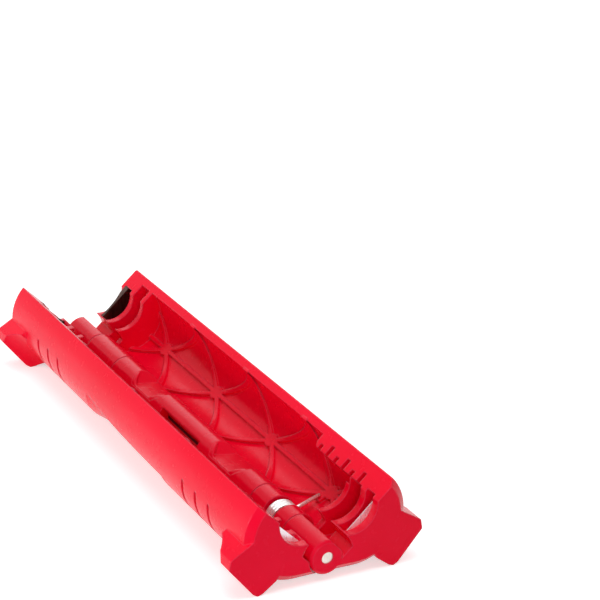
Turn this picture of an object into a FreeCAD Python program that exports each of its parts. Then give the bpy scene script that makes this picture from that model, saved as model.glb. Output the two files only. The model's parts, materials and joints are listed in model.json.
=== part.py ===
import FreeCAD, Part
import math
import os

# Coaxial cable stripper: two moulded halves on one long hinge, standing open on its feet.
# Each half is drawn in the closed tool: X along the hinge, Y out of the split plane,
# Z from the hinge axis to the free edges. The halves then swing open about the pin.

os.makedirs("parts", exist_ok=True)
V = FreeCAD.Vector

# Overall sizes, mm
length = 100.0
opening_angle = 93.6
split_setback = 0.1

# Outer section of a half
belly_height = 8.2
belly_depth = 8.3
belly_lift = 0.8
rim_ease = 0.3
flank_angle = 44.0
wall = 1.6
near_bevel = 1.2
far_bevel = 0.35

# Hinge
barrel_radius = 2.95
barrel_proud = 0.05
barrel_clearance = 0.25
pin_radius = 1.0
pin_running_clearance = 0.05
pin_inset = 0.15
knuckle_gap = 0.2
end_barrel_length = 9.7
end_barrel_top = 2.35
end_barrel_bevel = 0.4
front_barrel_length = 11.5
spring_space = 3.45
spring_offset = 3.4
trough_reach = 4.55
trough_depth = 2.2

# Middle barrel: two lowered lengths with a window over the pin between them
dip_plane = 1.2
dip_slope = 8.0
dip_start = 10.3
dip_length = 11.8
dip_ramp = 1.8
window_length = 15.2
middle_shift = 0.6
window_low = -0.9
window_high = 2.0
window_reach = 0.95

# End walls and ribs that carry the cable
end_wall = 1.7
far_wall = 1.1
blade_space = 2.3
rib_a = 1.5
rib_gap = 3.4
rib_b = 1.2
notch_centre_depth = -2.6
notch_radius = 4.4

# Blades
blade_thickness = 0.5
blade_low = 4.8
blade_high = 12.3
blade_bottom = 5.0
blade_bevel = 0.55
sheath_edge_depth = 0.65
core_edge_depth = 0.1
core_edge_hollow = 0.5
core_edge_middle = 7.0
core_edge_span = 3.6
blade_clearance = 0.03
keeper_width = 1.0
keeper_top = 2.4

# Inside lattice
hub_pitch = 21.75
hub_count = 4
hub_radius = 1.3
lattice_height = 0.6
lattice_fade = 0.15
lattice_rib = 0.8
diagonal_reach = 10.9

# Length scale on the rear rim
ledge_length = 20.0
ledge_edge = 12.0
ledge_corner = 1.5
scale_first = 1.7
scale_pitch = 2.6
scale_count = 6
scale_width = 1.0
scale_short = 1.0
scale_long = 1.9
scale_depth = 2.0

# Grip grooves and finger recess on the outside
groove_first = 26.7
groove_pitch = 4.75
groove_count = 3
groove_width = 0.75
groove_depth = 0.45
groove_top = 14.1
groove_bottom = 4.2
recess_depth = 0.7
recess_start = -14.6
recess_end = 17.5
recess_ramp = 4.5
recess_bottom = 3.6
crease_round = 3.0
crease_middle = 11.6
crease_start_height = 3.4
crease_top_height = 4.8
crease_middle_height = 3.85
crease_end_height = 2.9

# Feet
foot_thickness = 4.0
foot_flare = 4.6
foot_outset = 3.0
foot_root = 3.0
foot_lean = 0.2
foot_top = 14.3
foot_top_fall = 1.6
foot_shoulder = 9.1
foot_toe = 6.0
foot_toe_length = 0.9
foot_toe_draft = 0.4
foot_rounding = 0.45

# Torsion spring
wire_radius = 0.325
coil_radius = 2.45
coil_play = 0.05
wire_flats = 6
whole_turns = 3
knee_height = 2.82
knee_depth = 2.04
leg_slant = 2.4
leg_height = 6.55
leg_seat_width = 1.7

half = length / 2
tilt = opening_angle / 2
front_side = -1
rear_side = 1
inner_wall_x = half - end_wall
blade_rib_x = inner_wall_x - blade_space
gap_end_x = blade_rib_x - rib_a
gap_start_x = gap_end_x - rib_gap
main_x = gap_start_x - rib_b

# Belly arc about a line just outside the split plane, and the rim above it
belly_radius = belly_depth - belly_lift
belly_rise = belly_radius + rim_ease

# Flank radius that runs the belly into a straight flank just inside the hinge barrel
flank_reach = barrel_radius - barrel_proud
flank = math.radians(flank_angle)
flank_run = belly_height * math.sin(flank) - belly_depth * math.cos(flank)
flank_radius = (flank_reach + flank_run) / (1 - math.cos(flank))
flank_normal = V(0, math.cos(flank), -math.sin(flank))


def box(x0, x1, y0, y1, z0, z1):
    return Part.makeBox(x1 - x0, y1 - y0, z1 - z0, V(x0, y0, z0))


def bar(radius, x0, x1, y=0.0, z=0.0):
    return Part.makeCylinder(radius, x1 - x0, V(x0, y, z), V(1, 0, 0))


def prism(points, push):
    ring = Part.makePolygon(list(points) + [points[0]])
    return Part.Face(ring).extrude(push)


def section_prism(inset, x0, x1, inset_rise=None):
    # Half section inside the outer surface by inset: rim, belly and flank arcs and a straight flank
    rise = belly_rise - (inset if inset_rise is None else inset_rise)
    depth = belly_depth - inset
    belly_arc = belly_radius - inset
    lift = depth - belly_arc
    rim_arc = (rise ** 2 + lift ** 2 - belly_arc ** 2) / (2 * (rise - belly_arc))
    top = V(x0, 0, belly_height + rise)
    belly = V(x0, depth, belly_height)
    rim_pivot = top - V(0, 0, rim_arc)
    belly_pivot = belly - V(0, belly_arc, 0)
    meet = math.atan2(lift, rim_arc - rise)
    knot = belly_pivot + V(0, math.sin(meet), math.cos(meet)) * belly_arc
    rim_mid = rim_pivot + V(0, math.sin(meet / 2), math.cos(meet / 2)) * rim_arc
    turn = (meet + math.pi / 2) / 2
    belly_mid = belly_pivot + V(0, math.sin(turn), math.cos(turn)) * belly_arc
    rim = Part.Arc(top, rim_mid, knot).toShape()
    side = Part.Arc(knot, belly_mid, belly).toShape()
    pivot = V(x0, belly_depth - flank_radius, belly_height)
    radius = flank_radius - inset
    low = pivot + flank_normal * radius
    half_way = V(0, math.cos(flank / 2), -math.sin(flank / 2))
    under = Part.Arc(belly, pivot + half_way * radius, low).toShape()
    corners = [low, V(x0, 0, 0) + flank_normal * (flank_reach - inset), V(x0, 0, 0)]
    corners += [V(x0, -1, 0), top + V(0, -1, 0), top]
    sides = [Part.makeLine(corners[i], corners[i + 1]) for i in range(len(corners) - 1)]
    wire = Part.Wire(Part.__sortEdges__([rim, side, under] + sides))
    return Part.Face(wire).extrude(V(x1 - x0, 0, 0))


def outer_body():
    body = section_prism(0, -half, half)
    edges = []
    for edge in body.Edges:
        at_end = abs(abs(edge.CenterOfMass.x) - half) < 1e-6 and edge.BoundBox.XLength < 1e-6
        if at_end and edge.CenterOfMass.y > 0.5 and edge.Curve.TypeId != "Part::GeomLine":
            edges.append(edge)
    body = body.makeChamfer(near_bevel, [e for e in edges if e.CenterOfMass.x > 0])
    far_edges = []
    for edge in body.Edges:
        at_end = abs(edge.CenterOfMass.x + half) < 1e-6 and edge.BoundBox.XLength < 1e-6
        if at_end and edge.CenterOfMass.y > 0.5 and edge.Curve.TypeId != "Part::GeomLine":
            far_edges.append(edge)
    body = body.makeChamfer(far_bevel, far_edges)
    keep = box(-half, half, split_setback, 2 * belly_depth, -2 * barrel_radius, 3 * belly_height)
    return body.common(keep)


def foot_solid(end):
    # Winged foot: outline in the end face, flared into the body along the tool
    toe_y = belly_depth + foot_outset
    outline = [
        V(0, foot_root, foot_top - foot_top_fall),
        V(0, belly_depth * 0.6, foot_top - foot_top_fall * 0.7),
        V(0, foot_shoulder, foot_top),
        V(0, toe_y - foot_toe_draft * 2, foot_top - foot_toe_length),
        V(0, toe_y, foot_toe + foot_toe_length),
        V(0, toe_y - foot_toe_draft / 2, foot_toe),
        V(0, toe_y - foot_toe_draft * 2.5, foot_toe - foot_toe_draft),
        V(0, belly_depth - foot_toe_draft * 2, foot_toe - foot_toe_length),
        V(0, foot_root, foot_toe),
    ]
    start = half - foot_thickness - foot_flare
    outline = [V(start, p.y, p.z) for p in outline]
    foot = prism(outline, V(half - start, 0, 0))
    rounds = []
    for edge in foot.Edges:
        along = edge.BoundBox.XLength > 1
        if along and edge.CenterOfMass.y > foot_shoulder - 0.2:
            rounds.append(edge)
    foot = foot.makeFillet(foot_rounding, rounds)
    flare_start = V(start, belly_depth - 1.2, 0)
    flare_mid = V(start + foot_flare * 0.62, belly_depth + foot_outset * 0.2, 0)
    flare_end = V(half - foot_thickness, toe_y + 0.2, 0)
    sweep = Part.Arc(flare_start, flare_mid, flare_end).toShape()
    back = half + foot_flare
    corners = [flare_end, V(back, toe_y + 0.2, 0), V(back, 0, 0), V(start, 0, 0), flare_start]
    sides = [Part.makeLine(corners[i], corners[i + 1]) for i in range(len(corners) - 1)]
    wire = Part.Wire(Part.__sortEdges__([sweep] + sides))
    flare = Part.Face(wire).extrude(V(foot_lean, 0, 1) * 3 * belly_height)
    flare.translate(V(-foot_lean * foot_toe, 0, 0))
    foot = foot.common(flare)
    if end < 0:
        foot = foot.mirror(V(0, 0, 0), V(1, 0, 0))
    return foot


def rounded_slot(x, width, z0, z1, y0, y1):
    r = width / 2
    slot = box(x - r, x + r, y0, y1, z0, z1 - r)
    return slot.fuse(Part.makeCylinder(r, y1 - y0, V(x, y0, z1 - r), V(0, 1, 0)))


def grip_grooves():
    reach = groove_first + groove_count * groove_pitch
    core = section_prism(groove_depth, -reach, reach)
    cutters = []
    for i in range(groove_count):
        for end in (-1, 1):
            x = end * (groove_first + i * groove_pitch)
            cutters.append(rounded_slot(x, groove_width, groove_bottom, groove_top, 0, 2 * belly_depth))
    return cutters[0].multiFuse(cutters[1:]).cut(core)


def finger_recess():
    # Shallow waist turned about the belly's own centre line, ramped up at each end
    floor = belly_depth - recess_depth
    top = belly_depth + recess_depth
    outside = 1.5 * belly_depth
    ramp = recess_ramp * (top - floor) / recess_depth
    ring_corners = [
        V(recess_start + recess_ramp - ramp, 0, belly_height + top),
        V(recess_start + recess_ramp, 0, belly_height + floor),
        V(recess_end - recess_ramp, 0, belly_height + floor),
        V(recess_end - recess_ramp + ramp, 0, belly_height + top),
        V(recess_end, 0, belly_height + outside),
        V(recess_start, 0, belly_height + outside),
    ]
    ring_face = Part.Face(Part.makePolygon(ring_corners + [ring_corners[0]]))
    ring = ring_face.revolve(V(0, 0, belly_height), V(1, 0, 0), -180)

    # The crease along its top starts in a small round and falls slowly towards the other end
    first = V(recess_start, 0, belly_height + crease_start_height)
    turned = V(recess_start + crease_round, 0, belly_height + crease_top_height)
    corner = V(recess_start + crease_round * 0.25, 0, belly_height + crease_top_height * 0.93)
    middle = V(recess_start + crease_middle, 0, belly_height + crease_middle_height)
    last = V(recess_end, 0, belly_height + crease_end_height)
    upper = [Part.Arc(first, corner, turned).toShape(), Part.Arc(turned, middle, last).toShape()]
    low = belly_height - recess_bottom
    corners = [last, V(recess_end, 0, low), V(recess_start, 0, low), first]
    sides = [Part.makeLine(corners[i], corners[i + 1]) for i in range(3)]
    patch = Part.Face(Part.Wire(Part.__sortEdges__(upper + sides)))
    return ring.common(patch.extrude(V(0, 2 * belly_depth, 0)))


def coil_ends():
    # Middle of the wire at the first and last turn, between the knuckles beside the spring
    spans = barrel_spans(front_side)
    return spans[1][1] + coil_play + wire_radius, spans[2][0] - coil_play - wire_radius


def leg_tip(side):
    # Where a spring leg rests on its seat, in the closed tool's frame of that half
    low, high = coil_ends()
    x = low - leg_slant if side == rear_side else high + leg_slant
    reach = flank_radius - wall - lattice_height - wire_radius
    y = belly_depth - flank_radius + math.sqrt(reach ** 2 - (belly_height - leg_height) ** 2)
    return V(x, y, leg_height)


def lattice(side):
    # Hubs, one long rib and crossing diagonals standing on the inside of the belly
    y0, y1 = 0.0, 2 * belly_depth
    pieces = [box(-main_x, main_x, y0, y1, belly_height - lattice_rib / 2, belly_height + lattice_rib / 2)]
    across = math.hypot(diagonal_reach, belly_rise)
    for i in range(hub_count):
        x = (i - (hub_count - 1) / 2) * hub_pitch
        pieces.append(Part.makeCylinder(hub_radius, y1 - y0, V(x, y0, belly_height), V(0, 1, 0)))
        for turn in (-1, 1):
            rib = box(-across, across, y0, y1, -lattice_rib / 2, lattice_rib / 2)
            slope = math.degrees(math.atan2(belly_rise - wall, diagonal_reach))
            rib.rotate(V(0, 0, 0), V(0, 1, 0), turn * slope)
            rib.translate(V(x, 0, belly_height))
            pieces.append(rib)
    tip = leg_tip(side)
    w = leg_seat_width / 2
    seat = box(tip.x - w, tip.x + w, y0, y1, tip.z - w, tip.z + w)
    grid = pieces[0].multiFuse(pieces[1:] + [seat])
    grid = grid.common(section_prism(wall - 0.3, -main_x, main_x))
    crest = section_prism(wall + lattice_height, -main_x - 1, main_x + 1, wall + lattice_fade)
    return grid.cut(crest)


def ledge_keep():
    # Part of the cavity that the wide rim with the length scale leaves solid
    x0 = inner_wall_x - ledge_length
    z0 = ledge_edge
    r = ledge_corner
    block = box(x0, half, -1, 2 * belly_depth, z0, z0 + 3 * belly_rise)
    corner = box(x0, x0 + r, -1, 2 * belly_depth, z0, z0 + r)
    round_bar = Part.makeCylinder(r, 2 * belly_depth + 1, V(x0 + r, -1, z0 + r), V(0, 1, 0))
    return block.cut(corner.cut(round_bar))


def scale_notches():
    cutters = []
    x0 = inner_wall_x - ledge_length + scale_first
    for i in range(scale_count):
        x = x0 + i * scale_pitch
        reach = scale_long if i % 2 else scale_short
        cutters.append(box(x - scale_width / 2, x + scale_width / 2, -1, scale_depth,
                           ledge_edge - 1, ledge_edge + reach))
    return cutters[0].multiFuse(cutters[1:])


def wall_face(end):
    # Inner face of an end wall, which backs the blade
    return half - (end_wall if end > 0 else far_wall)


def hollows(with_ledge):
    # Main cavity, the space between the two ribs, and the blade space, at both ends
    spaces = [section_prism(wall, -main_x, main_x)]
    for end in (-1, 1):
        low, high = sorted((end * gap_start_x, end * gap_end_x))
        spaces.append(section_prism(wall, low, high))
    hollow = spaces[0].multiFuse(spaces[1:])
    if with_ledge:
        hollow = hollow.cut(ledge_keep())
        hollow = hollow.fuse(scale_notches())
    for end in (-1, 1):
        low, high = sorted((end * blade_rib_x, end * wall_face(end)))
        pocket = box(low, high, -1, blade_bottom, blade_low, blade_high)
        room = section_prism(wall * 0.6, low, high)
        pocket = pocket.common(room)
        inner = wall_face(end) - blade_thickness - blade_clearance
        low, high = sorted((end * blade_rib_x, end * inner))
        for z in (blade_low, blade_high - keeper_width):
            pocket = pocket.cut(box(low, high, keeper_top, 2 * belly_depth, z, z + keeper_width))
        hollow = hollow.fuse(pocket)
    return hollow


def barrel_spans(side):
    # Lengths of the hinge line whose barrel belongs to this half
    end_inner = half - end_barrel_length
    front_outer = end_inner - knuckle_gap
    front_inner = front_outer - front_barrel_length
    middle = front_inner - knuckle_gap
    if side == rear_side:
        return [(-half, -end_inner), (-middle, middle), (end_inner, half)]
    spring_end = front_outer - spring_offset
    spring_start = spring_end - spring_space
    return [(-front_outer, -front_inner), (front_inner, spring_start), (spring_end, front_outer)]


def middle_details():
    # Flats that lower the middle barrel and the window over the pin, level when the tool is open
    cutters = []
    over = 2 * barrel_radius
    for end in (-1, 1):
        a = dip_start
        b = dip_start + dip_length
        outline = [
            V(end * a, 0, dip_plane + over),
            V(end * a, 0, barrel_radius + 0.01),
            V(end * (a + dip_ramp), 0, dip_plane),
            V(end * (b - dip_ramp), 0, dip_plane),
            V(end * b, 0, barrel_radius + 0.01),
            V(end * b, 0, dip_plane + over),
        ]
        cut = prism([p - V(0, over, 0) for p in outline], V(0, 2 * over, 0))
        cutters.append(cut)
    solid = cutters[0].fuse(cutters[1])
    solid.rotate(V(0, 0, 0), V(1, 0, 0), -dip_slope)
    w = window_length / 2
    solid = solid.fuse(box(-w, w, -over, -window_reach, window_low, window_high))
    solid.translate(V(middle_shift, 0, 0))
    solid.rotate(V(0, 0, 0), V(1, 0, 0), tilt)
    return solid


def end_barrel(barrel, low, high):
    # Bevelled round its outer end and flat on top, where the cable's channel passes
    rims = [e for e in barrel.Edges if abs(abs(e.CenterOfMass.x) - half) < 1e-6 and e.BoundBox.XLength < 1e-6]
    barrel = barrel.makeChamfer(end_barrel_bevel, rims)
    wide = 2 * barrel_radius
    return barrel.cut(box(low - 1, high + 1, -wide, wide, end_barrel_top, wide))


def shell(side):
    body = outer_body()
    body = body.multiFuse([foot_solid(1), foot_solid(-1)])
    body = body.cut(box(-half, half, -belly_depth, split_setback, -belly_depth, 3 * belly_height))
    body = body.cut(hollows(side == rear_side)).removeSplitter()
    grid = lattice(side)
    if side == rear_side:
        grid = grid.cut(ledge_keep())
    body = body.fuse(grid)

    # Cable notches through the end walls and ribs, and the trough beside the end barrels
    for end in (-1, 1):
        low, high = sorted((end * (main_x - 0.5), end * (half + 1)))
        body = body.cut(bar(notch_radius, low, high, notch_centre_depth, belly_height))
        trough = box(low, high, -1, trough_depth, 0, 2 * trough_reach)
        body = body.cut(trough.common(bar(trough_reach, low, high)))

    body = body.cut(grip_grooves())
    body = body.cut(finger_recess())

    # Barrels of this half, and room for the barrels of the other half and the spring
    spans = barrel_spans(side)
    barrels = []
    for low, high in spans:
        barrel = bar(barrel_radius, low, high)
        barrels.append(end_barrel(barrel, low, high) if half in (-low, high) else barrel)
    solid_line = barrels[0].multiFuse(barrels[1:])
    if side == rear_side:
        details = middle_details()
        solid_line = solid_line.cut(details)
    room = bar(barrel_radius + barrel_clearance, -half - 1, half + 1)
    for low, high in spans:
        low_end = -half - 2 if low <= -half else low
        high_end = half + 2 if high >= half else high
        room = room.cut(bar(2 * barrel_radius, low_end, high_end))
    body = body.cut(room)
    body = body.fuse(solid_line)
    bore = pin_radius if side == rear_side else pin_radius + pin_running_clearance
    body = body.cut(bar(bore, -half - 1, half + 1))
    return body


def place(shape, side):
    # Swings a half from the closed tool to its open rest
    if side == front_side:
        shape = shape.mirror(V(0, 0, 0), V(0, 1, 0))
    shape.rotate(V(0, 0, 0), V(1, 0, 0), -side * tilt)
    return shape


def blade(end, edge_depth, hollow):
    # Ground plate on edge against the end wall, its edge towards the split plane
    clear = blade_clearance
    x_back = wall_face(end)
    x_front = x_back - blade_thickness
    low = blade_low + clear
    high = blade_high - clear
    plate = box(x_front, x_back, edge_depth, blade_bottom - clear, low, high)
    grind = [
        V(x_front - 0.01, edge_depth - 0.01, low - 1),
        V(x_back - 0.08, edge_depth - 0.01, low - 1),
        V(x_front - 0.01, edge_depth + blade_bevel, low - 1),
    ]
    plate = plate.cut(prism(grind, V(0, 0, high - low + 2)))
    if hollow > 0:
        radius = (core_edge_span ** 2 + hollow ** 2) / (2 * hollow)
        centre_y = edge_depth + hollow - radius
        plate = plate.cut(bar(radius, x_front - 1, x_back + 1, centre_y, core_edge_middle))
    plate = plate.common(section_prism(wall * 0.6 + clear, x_front, x_back))
    if end < 0:
        plate = plate.mirror(V(0, 0, 0), V(1, 0, 0))
    return plate


def wire_section(centre, along, across):
    # Spring wire drawn with flats, so that its many turns stay light
    along = V(along).normalize()
    across = (across - along * across.dot(along)).normalize()
    third = along.cross(across)
    points = []
    for i in range(wire_flats):
        a = 2 * math.pi * (i + 0.5) / wire_flats
        points.append(centre + across * wire_radius * math.cos(a) + third * wire_radius * math.sin(a))
    return Part.Face(Part.makePolygon(points + [points[0]]))


def wire_rod(start, end):
    # Straight wire that runs on by its own radius at the start, to close the bend there
    run = end - start
    back = V(run).normalize() * wire_radius
    section = wire_section(start - back, run, V(1, 0, 0))
    return section.extrude(run + back)


def spring():
    # Wire coil round the pin, turned half by half, with one leg on a seat inside each half
    low, high = coil_ends()
    halves = 2 * whole_turns + 1
    step = (high - low) / halves
    turns = []
    across = V(0, 1, 0)
    for i in range(halves):
        side = 1 if i % 2 == 0 else -1
        start = V(low + i * step, side * coil_radius, 0)
        chord = V(step, -2 * side * coil_radius, 0)
        disc = wire_section(start, V(0, 0, 1), across)
        axis = V(0, 0, side).cross(chord).normalize()
        turns.append(disc.revolve(start + chord * 0.5, axis * -1, 180))
        # The flats line up with the next half turn's
        across = axis * (2 * axis.dot(across)) - across
    legs = []
    angle = math.radians(tilt)
    for side, x in ((rear_side, low), (front_side, high)):
        start = V(x, coil_radius * math.cos(angle), coil_radius * math.sin(angle))
        knee = V(x, knee_depth, knee_height)
        tip = leg_tip(side)
        leg = wire_rod(start, knee).fuse(wire_rod(knee, tip))
        legs.append(place(leg, side))
    return turns[0].multiFuse(turns[1:] + legs)


pin = bar(pin_radius, -half + pin_inset, half - pin_inset)
rear = place(shell(rear_side), rear_side)
front = place(shell(front_side), front_side)

shapes = {
    "rear_shell": rear,
    "front_shell": front,
    "hinge_pin": pin,
    "sheath_blade_rear": place(blade(1, sheath_edge_depth, 0), rear_side),
    "sheath_blade_front": place(blade(1, sheath_edge_depth, 0), front_side),
    "core_blade_rear": place(blade(-1, core_edge_depth, core_edge_hollow), rear_side),
    "core_blade_front": place(blade(-1, core_edge_depth, core_edge_hollow), front_side),
    "hinge_spring": spring(),
}

# The tool stands on its four feet
hinge_height = -rear.optimalBoundingBox().ZMin
for name, shape in shapes.items():
    shape.translate(V(0, 0, hinge_height))
    shape.exportStep("parts/%s.step" % name)
    print(name, shape.isValid(), len(shape.Solids), round(shape.Volume, 2), shape.BoundBox)
print("hinge height", round(hinge_height, 3))
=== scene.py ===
import json
import math

import bpy
from mathutils import Matrix, Vector

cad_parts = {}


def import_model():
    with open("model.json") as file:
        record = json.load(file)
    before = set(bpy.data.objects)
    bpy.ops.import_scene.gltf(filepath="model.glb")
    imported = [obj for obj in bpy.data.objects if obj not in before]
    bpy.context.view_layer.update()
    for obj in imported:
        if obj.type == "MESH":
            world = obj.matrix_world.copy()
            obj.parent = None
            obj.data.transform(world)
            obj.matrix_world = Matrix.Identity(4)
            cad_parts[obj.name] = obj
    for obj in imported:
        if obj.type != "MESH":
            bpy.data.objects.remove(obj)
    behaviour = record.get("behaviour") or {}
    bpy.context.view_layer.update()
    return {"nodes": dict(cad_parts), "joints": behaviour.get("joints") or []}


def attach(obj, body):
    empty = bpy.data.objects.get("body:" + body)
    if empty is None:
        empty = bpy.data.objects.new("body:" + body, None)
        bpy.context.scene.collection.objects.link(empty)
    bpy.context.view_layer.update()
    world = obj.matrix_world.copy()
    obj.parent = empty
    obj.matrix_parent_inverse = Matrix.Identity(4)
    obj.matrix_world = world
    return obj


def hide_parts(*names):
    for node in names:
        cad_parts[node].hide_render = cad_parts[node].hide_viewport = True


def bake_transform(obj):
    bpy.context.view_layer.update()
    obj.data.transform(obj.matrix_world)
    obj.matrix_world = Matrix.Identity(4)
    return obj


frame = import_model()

nodes = frame["nodes"]
MM = 0.001
# Height of the hinge line, and how far each half swings out from the closed tool
HINGE = frame["joints"][0]["pos_m"][2]
OPEN_HALF = math.radians(46.8)


# Nodes that the materials share

def new_material(name):
    material = bpy.data.materials.new(name)
    material.use_nodes = True
    tree = material.node_tree
    return material, tree, tree.nodes["Principled BSDF"]


def object_coords(tree):
    return tree.nodes.new("ShaderNodeTexCoord").outputs["Object"]


def noise(tree, scale, detail, stretch=None):
    source = object_coords(tree)
    if stretch:
        mapping = tree.nodes.new("ShaderNodeMapping")
        mapping.inputs["Scale"].default_value = stretch
        tree.links.new(source, mapping.inputs["Vector"])
        source = mapping.outputs["Vector"]
    node = tree.nodes.new("ShaderNodeTexNoise")
    node.inputs["Scale"].default_value = scale
    node.inputs["Detail"].default_value = detail
    tree.links.new(source, node.inputs["Vector"])
    return node.outputs["Fac"]


def ramp(tree, fac, low, high, start=0.35, end=0.65):
    node = tree.nodes.new("ShaderNodeValToRGB")
    for element, place, colour in zip(node.color_ramp.elements, (start, end), (low, high)):
        element.position = place
        element.color = colour
    tree.links.new(fac, node.inputs["Fac"])
    return node.outputs["Color"]


def grey(value):
    return (value, value, value, 1.0)


def map_range(tree, value, **ends):
    # Ends are named as the sockets are, such as from_min. Those left out stay 0 and 1
    node = tree.nodes.new("ShaderNodeMapRange")
    for end, number in ends.items():
        node.inputs[end.replace("_", " ").title()].default_value = number
    tree.links.new(value, node.inputs["Value"])
    return node.outputs["Result"]


def mix(tree, share, first):
    # Mix of a first colour with a second one, which the caller gives to input B
    node = tree.nodes.new("ShaderNodeMix")
    node.data_type = "RGBA"
    tree.links.new(share, node.inputs["Factor"])
    tree.links.new(first, node.inputs["A"])
    return node


def bump(tree, height, distance, strength, normal=None):
    node = tree.nodes.new("ShaderNodeBump")
    node.inputs["Distance"].default_value = distance
    node.inputs["Strength"].default_value = strength
    tree.links.new(height, node.inputs["Height"])
    if normal is not None:
        tree.links.new(normal, node.inputs["Normal"])
    return node.outputs["Normal"]


def rounded_normal(tree, radius):
    node = tree.nodes.new("ShaderNodeBevel")
    node.samples = 6
    node.inputs["Radius"].default_value = radius
    return node.outputs["Normal"]


def edge_share(tree, rounded):
    # How far a rounded edge turns the surface there, from none to most; it sets where the painted
    # edge highlight goes
    geometry = tree.nodes.new("ShaderNodeNewGeometry")
    dot = tree.nodes.new("ShaderNodeVectorMath")
    dot.operation = "DOT_PRODUCT"
    tree.links.new(rounded, dot.inputs[0])
    tree.links.new(geometry.outputs["Normal"], dot.inputs[1])
    return map_range(tree, dot.outputs["Value"], from_min=0.995, from_max=0.8, to_max=0.8)


# Materials

RED_DEEP = (0.84, 0.0006, 0.02, 1)
RED_LIGHT = (0.9, 0.001, 0.028, 1)
# Lighter pink for a painted highlight on rounded edges
RED_EDGE_HIGHLIGHT = (0.92, 0.05, 0.1, 1)
RED_GLOSS_TINT = (1.0, 0.46, 0.7, 1)
RED_EDGE = 0.4 * MM
RED_SKIN = 0.02 * MM

GRIND = 0.01 * MM
BLADE_GRAIN = (1.0, 1.0, 0.15)
PIN_GRAIN = (1.0, 1.0, 0.25)
WIRE_GRAIN = (0.2, 1.0, 1.0)

# Near-black along the pin is painted shade; the bare colour is the steel of its ends
PIN_PAINTED_SHADE = ((0.012, 0.009, 0.009, 1), (0.03, 0.022, 0.022, 1))
PIN_BARE = ((0.6, 0.58, 0.53, 1), (0.76, 0.74, 0.68, 1))
PIN_EDGE = 0.12 * MM
PIN_PAINTED_SHADE_END = 49.65 * MM
PIN_BARE_START = 49.8 * MM


def red_plastic():
    # Satin moulded plastic: near-even deep red, faint flow marks and a fine skin, with a painted
    # highlight along rounded edges
    material, tree, shader = new_material("red_moulded_plastic")
    shader.inputs["Specular IOR Level"].default_value = 0.16
    shader.inputs["IOR"].default_value = 1.5
    shader.inputs["Specular Tint"].default_value = RED_GLOSS_TINT
    flow = noise(tree, 90.0, 2.0, (0.35, 1.0, 1.0))
    rounded = rounded_normal(tree, RED_EDGE)
    # Lighter pink where a rounded edge turns: a painted highlight
    edge_highlight = mix(tree, edge_share(tree, rounded), ramp(tree, flow, RED_DEEP, RED_LIGHT, 0.3, 0.7))
    edge_highlight.inputs["B"].default_value = RED_EDGE_HIGHLIGHT
    tree.links.new(edge_highlight.outputs["Result"], shader.inputs["Base Color"])
    mottle = noise(tree, 700.0, 4.0)
    tree.links.new(ramp(tree, mottle, grey(0.22), grey(0.28)), shader.inputs["Roughness"])
    skin = noise(tree, 900.0, 2.0)
    tree.links.new(bump(tree, skin, RED_SKIN, 0.12, rounded), shader.inputs["Normal"])
    return material


def ground_steel(name, low, high, rough, scale, grain, strength, metallic):
    # Steel with fine grinding lines along its grain
    material, tree, shader = new_material(name)
    shader.inputs["Metallic"].default_value = metallic
    lines = noise(tree, scale, 4.0, grain)
    tree.links.new(ramp(tree, lines, low, high), shader.inputs["Base Color"])
    gloss = ramp(tree, lines, grey(rough * 0.8), grey(rough * 1.2))
    tree.links.new(gloss, shader.inputs["Roughness"])
    tree.links.new(bump(tree, lines, GRIND, strength), shader.inputs["Normal"])
    return material


def pin_with_painted_shade():
    # Rod painted near-black along its length, as painted shade where the pin shows dark in the
    # barrel window; its ends are bare steel
    material, tree, shader = new_material("pin_steel_painted_shade")
    axes = tree.nodes.new("ShaderNodeSeparateXYZ")
    tree.links.new(object_coords(tree), axes.inputs["Vector"])
    reach = tree.nodes.new("ShaderNodeMath")
    reach.operation = "ABSOLUTE"
    tree.links.new(axes.outputs["X"], reach.inputs[0])
    bare_share = map_range(tree, reach.outputs[0], from_min=PIN_PAINTED_SHADE_END, from_max=PIN_BARE_START)
    lines = noise(tree, 2600.0, 4.0, PIN_GRAIN)
    both = mix(tree, bare_share, ramp(tree, lines, *PIN_PAINTED_SHADE))
    tree.links.new(ramp(tree, lines, *PIN_BARE), both.inputs["B"])
    tree.links.new(both.outputs["Result"], shader.inputs["Base Color"])
    tree.links.new(bare_share, shader.inputs["Metallic"])
    tree.links.new(ramp(tree, lines, grey(0.38), grey(0.5)), shader.inputs["Roughness"])
    normal = bump(tree, lines, GRIND, 0.2, rounded_normal(tree, PIN_EDGE))
    tree.links.new(normal, shader.inputs["Normal"])
    return material


red = red_plastic()
pin_steel = pin_with_painted_shade()
wire_steel = ground_steel(
    "plated_wire", (0.86, 0.86, 0.85, 1), (0.96, 0.96, 0.95, 1),
    rough=0.25, scale=500.0, grain=WIRE_GRAIN, strength=0.02, metallic=0.65)
blade_steel = ground_steel(
    "ground_blade_steel", (0.82, 0.79, 0.85, 1), (0.9, 0.88, 0.92, 1),
    rough=0.3, scale=1600.0, grain=BLADE_GRAIN, strength=0.05, metallic=0.65)
# A darker copy of the blade steel for the core blades, dark brown as painted shade
shaded_blade_steel = ground_steel(
    "blade_steel_painted_shade", (0.05, 0.03, 0.028, 1), (0.1, 0.065, 0.055, 1),
    rough=0.4, scale=1600.0, grain=BLADE_GRAIN, strength=0.12, metallic=1.0)

for node_name, material in (
        ("rear_shell", red),
        ("front_shell", red),
        ("hinge_pin", pin_steel),
        ("sheath_blade_rear", blade_steel),
        ("sheath_blade_front", blade_steel),
        ("core_blade_rear", shaded_blade_steel),
        ("core_blade_front", shaded_blade_steel)):
    slots = nodes[node_name].data.materials
    slots.clear()
    slots.append(material)


# Pieces made as a skin over rings of points

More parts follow.
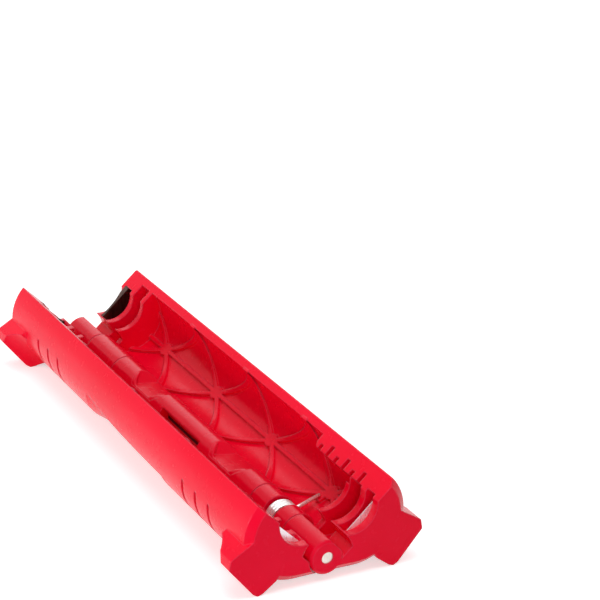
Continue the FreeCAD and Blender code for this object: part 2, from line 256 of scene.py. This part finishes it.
def new_piece(name, rings, material, turned=False):
    # Equal rings joined by smooth quads, with a flat cap at each end. Turned, it faces the
    # other way, for rings that run the other way round
    size = len(rings[0])
    faces = [tuple(range(size - 1, -1, -1))]
    for i in range(len(rings) - 1):
        here = i * size
        ahead = here + size
        for k in range(size):
            n = (k + 1) % size
            faces.append((here + k, here + n, ahead + n, ahead + k))
    base = (len(rings) - 1) * size
    faces.append(tuple(range(base, base + size)))
    if turned:
        faces = [(face[0],) + face[:0:-1] for face in faces]
    mesh = bpy.data.meshes.new(name)
    mesh.from_pydata([tuple(point) for ring in rings for point in ring], [], faces)
    for polygon in mesh.polygons:
        polygon.use_smooth = len(polygon.vertices) == 4
    mesh.update()
    piece = bpy.data.objects.new(name, mesh)
    bpy.context.scene.collection.objects.link(piece)
    piece.data.materials.append(material)
    return piece


# Round spring wire in place of the six-sided solid, in mm

COIL_LOW = 33.63
COIL_HIGH = 36.32
COIL_RADIUS = 2.45
TURNS = 3.5
TURN_STEPS = 40
WIRE = 0.325
WIRE_SIDES = 20
# How far from the end, and how wide there, each ring of a domed wire end is, in wire radii
WIRE_DOME = ((0.22, 0.6), (0.1, 0.9))
# Where each leg leaves the coil and where it ends, out and up in the closed tool
LEG_ROOT = (2.04, 2.82)
LEG_END = (5.62, 6.55)
LEG_RUN = 2.4
BEND_REACH = 0.8
BEND_SHARE = 0.45
BEND_STEPS = 6


def rounded_path(points, reach):
    # A line of points with each corner turned in a short smooth bend
    path = [points[0]]
    for before, corner, after in zip(points, points[1:], points[2:]):
        ends = []
        for side in (before, after):
            arm = side - corner
            ends.append(corner + arm.normalized() * min(reach, arm.length * BEND_SHARE))
        start, end = ends
        for k in range(BEND_STEPS + 1):
            t = k / BEND_STEPS
            path.append(start * (1 - t) ** 2 + corner * 2 * t * (1 - t) + end * t ** 2)
    path.append(points[-1])
    return path


def wire_rings(path, radius):
    # Round rings along a path, carried forward without twist, with domed ends
    stations = []
    tangent = (path[1] - path[0]).normalized()
    across = tangent.orthogonal().normalized()
    for i, point in enumerate(path):
        ahead = path[min(i + 1, len(path) - 1)]
        behind = path[max(i - 1, 0)]
        turned = (ahead - behind).normalized()
        across = tangent.rotation_difference(turned) @ across
        tangent = turned
        stations.append((point, tangent, across, tangent.cross(across), 1.0))
    first = stations[0]
    last = stations[-1]
    head = [(first[0] - first[1] * radius * s, *first[1:4], c) for s, c in WIRE_DOME]
    tail = [(last[0] + last[1] * radius * s, *last[1:4], c) for s, c in reversed(WIRE_DOME)]
    rings = []
    for point, _, across, third, share in head + stations + tail:
        ring = []
        for k in range(WIRE_SIDES):
            a = 2 * math.pi * k / WIRE_SIDES
            out = across * math.cos(a) + third * math.sin(a)
            ring.append(point + out * radius * share)
        rings.append(ring)
    return rings


def swung(x, y, z, side):
    # A point of the closed tool, in mm, where it lies in the open one, in metres
    c = math.cos(OPEN_HALF)
    s = math.sin(OPEN_HALF)
    out = y * c + z * s
    up = z * c - y * s
    return Vector((x * MM, side * out * MM, up * MM + HINGE))


def spring_path():
    rear_leg = [swung(COIL_LOW - LEG_RUN, *LEG_END, 1), swung(COIL_LOW, *LEG_ROOT, 1)]
    front_leg = [swung(COIL_HIGH, *LEG_ROOT, -1), swung(COIL_HIGH + LEG_RUN, *LEG_END, -1)]
    coil = []
    steps = int(TURNS * TURN_STEPS)
    for i in range(steps + 1):
        t = i / steps
        a = -2 * math.pi * TURNS * t
        x = COIL_LOW + (COIL_HIGH - COIL_LOW) * t
        y = math.cos(a) * COIL_RADIUS
        z = math.sin(a) * COIL_RADIUS
        coil.append(Vector((x * MM, y * MM, HINGE + z * MM)))
    head = rounded_path(rear_leg + [coil[0], coil[2]], BEND_REACH * MM)
    tail = rounded_path([coil[-3], coil[-1]] + front_leg, BEND_REACH * MM)
    return head[:-1] + coil[2:-2] + tail[1:]


spring = new_piece("hinge_spring_wire", wire_rings(spring_path(), WIRE * MM), wire_steel)
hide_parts("hinge_spring")
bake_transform(spring)


# Thin lips in front of the flats of the middle barrel, in mm and degrees round the hinge line

LIP_OUTER = 2.93
LIP_WALL = 0.5
LIP_FOOT = 152.0
LIP_LOW = 141.0
LIP_HIGH = 92.0
LIP_RUN = 3.3
LIP_SINK = 0.4
LIP_STEP = 0.1
LIP_ARC_STEPS = 8
LIP_NOSE_STEPS = 6


def lip_ring(x, top):
    # Outline of the lip across the barrel at x, from its foot over its rounded top and back
    middle = LIP_OUTER - LIP_WALL / 2
    nose = LIP_WALL / 2
    edge = top + math.degrees(nose / middle)
    arc = [LIP_FOOT + (edge - LIP_FOOT) * k / LIP_ARC_STEPS for k in range(LIP_ARC_STEPS + 1)]
    points = [(LIP_OUTER, a) for a in arc]
    for k in range(1, LIP_NOSE_STEPS):
        turn = math.pi * k / LIP_NOSE_STEPS
        over = math.degrees(nose * math.sin(turn) / middle)
        points.append((middle + nose * math.cos(turn), edge - over))
    points += [(LIP_OUTER - LIP_WALL, a) for a in reversed(arc)]
    ring = []
    for radius, angle in points:
        a = math.radians(angle)
        ring.append((x * MM, radius * math.cos(a) * MM, radius * math.sin(a) * MM + HINGE))
    return ring


def lip_rings(low, high):
    # The top falls in a soft S at each end, and the ends sink into the barrel
    rings = []
    length = high - low + 2 * LIP_SINK
    count = round(length / LIP_STEP)
    for i in range(count + 1):
        x = low - LIP_SINK + length * i / count
        run = min(max(min(x - low, high - x) / LIP_RUN, 0.0), 1.0)
        ease = run * run * (3 - 2 * run)
        rings.append(lip_ring(x, LIP_HIGH + (LIP_LOW - LIP_HIGH) * ease))
    return rings


for name, low, high in (("scoop_lip_near", 10.9, 22.7), ("scoop_lip_far", -21.5, -9.7)):
    lip = new_piece(name, lip_rings(low, high), red, turned=True)
    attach(lip, "rear_half")


# Floor, lamps, world and camera

FLOOR_SIZE = 6.0
FLOOR_SHADE = 0.86
FLOOR_GLOW = 0.55
WORLD_LIGHT = 0.24
WHITE = (1, 1, 1, 1)
LAMP_AIM = (0, 0, 0.01)
# Name, place, size and power of each lamp
LAMPS = (
    ("key", (-0.15, -0.82, 0.17), (0.5, 0.22), 3.15),
    ("top", (0.1, -0.05, 0.85), (0.6, 0.5), 3.2),
    ("side", (0.75, -0.35, 0.3), (0.35, 0.35), 1.9),
    ("back", (-0.62, 0.22, 0.36), (0.5, 0.4), 0.75))
# The photograph's view, with the camera's place given from the hinge line
VIEW_AZIMUTH = math.radians(61.3946)
VIEW_ELEVATION = math.radians(21.6199)
VIEW_ROLL = math.radians(2.0035)
VIEW_PLACE = (0.298895, -0.142183, 0.156312 + HINGE)
VIEW_LENS = 125.8


def shows_bright(tree):
    # 1 for what the camera, gloss and glass see, and 0 for what lights the object
    path = tree.nodes.new("ShaderNodeLightPath")
    seen = path.outputs["Is Camera Ray"]
    for ray in ("Is Glossy Ray", "Is Transmission Ray"):
        either = tree.nodes.new("ShaderNodeMath")
        either.operation = "MAXIMUM"
        tree.links.new(seen, either.inputs[0])
        tree.links.new(path.outputs[ray], either.inputs[1])
        seen = either.outputs[0]
    return seen


def floor():
    bpy.ops.mesh.primitive_plane_add(size=FLOOR_SIZE, location=(0, 0, 0))
    plane = bpy.context.object
    plane.name = "floor"
    material = bpy.data.materials.new("pale_floor")
    material.use_nodes = True
    tree = material.node_tree
    tree.nodes.clear()
    out = tree.nodes.new("ShaderNodeOutputMaterial")
    diffuse = tree.nodes.new("ShaderNodeBsdfDiffuse")
    diffuse.inputs["Color"].default_value = grey(FLOOR_SHADE)
    glow = tree.nodes.new("ShaderNodeEmission")
    glow.inputs["Color"].default_value = WHITE
    scale = tree.nodes.new("ShaderNodeMath")
    scale.operation = "MULTIPLY"
    scale.inputs[1].default_value = FLOOR_GLOW
    tree.links.new(shows_bright(tree), scale.inputs[0])
    tree.links.new(scale.outputs[0], glow.inputs["Strength"])
    both = tree.nodes.new("ShaderNodeAddShader")
    tree.links.new(diffuse.outputs[0], both.inputs[0])
    tree.links.new(glow.outputs[0], both.inputs[1])
    tree.links.new(both.outputs[0], out.inputs["Surface"])
    plane.data.materials.append(material)


def lamp(name, place, size, power):
    data = bpy.data.lights.new(name, "AREA")
    data.shape = "RECTANGLE"
    data.size, data.size_y = size
    data.energy = power
    light = bpy.data.objects.new(name, data)
    light.location = place
    aim = Vector(LAMP_AIM) - Vector(place)
    light.rotation_euler = aim.to_track_quat("-Z", "Y").to_euler()
    bpy.context.scene.collection.objects.link(light)


def world():
    # White where it is seen, and dimmer where it lights the object
    sky = bpy.data.worlds.new("studio")
    bpy.context.scene.world = sky
    sky.use_nodes = True
    tree = sky.node_tree
    back = tree.nodes["Background"]
    back.inputs["Color"].default_value = WHITE
    strength = map_range(tree, shows_bright(tree), to_min=WORLD_LIGHT)
    tree.links.new(strength, back.inputs["Strength"])


def camera():
    flat = math.cos(VIEW_ELEVATION)
    forward = Vector((
        -math.sin(VIEW_AZIMUTH) * flat, math.cos(VIEW_AZIMUTH) * flat, -math.sin(VIEW_ELEVATION)))
    right = Vector((math.cos(VIEW_AZIMUTH), math.sin(VIEW_AZIMUTH), 0))
    up = right.cross(forward)
    c = math.cos(VIEW_ROLL)
    s = math.sin(VIEW_ROLL)
    right, up = (right * c + up * s, up * c - right * s)
    data = bpy.data.cameras.new("photo_camera")
    data.sensor_width = 36.0
    data.lens = VIEW_LENS
    data.clip_start = 0.01
    view = bpy.data.objects.new("photo_camera", data)
    turn = Matrix((right, up, -forward)).transposed().to_4x4()
    view.matrix_world = Matrix.Translation(VIEW_PLACE) @ turn
    bpy.context.scene.collection.objects.link(view)
    bpy.context.scene.camera = view


floor()
world()
for name, place, size, power in LAMPS:
    lamp(name, place, size, power)
camera()
bpy.context.scene.view_settings.view_transform = "Standard"
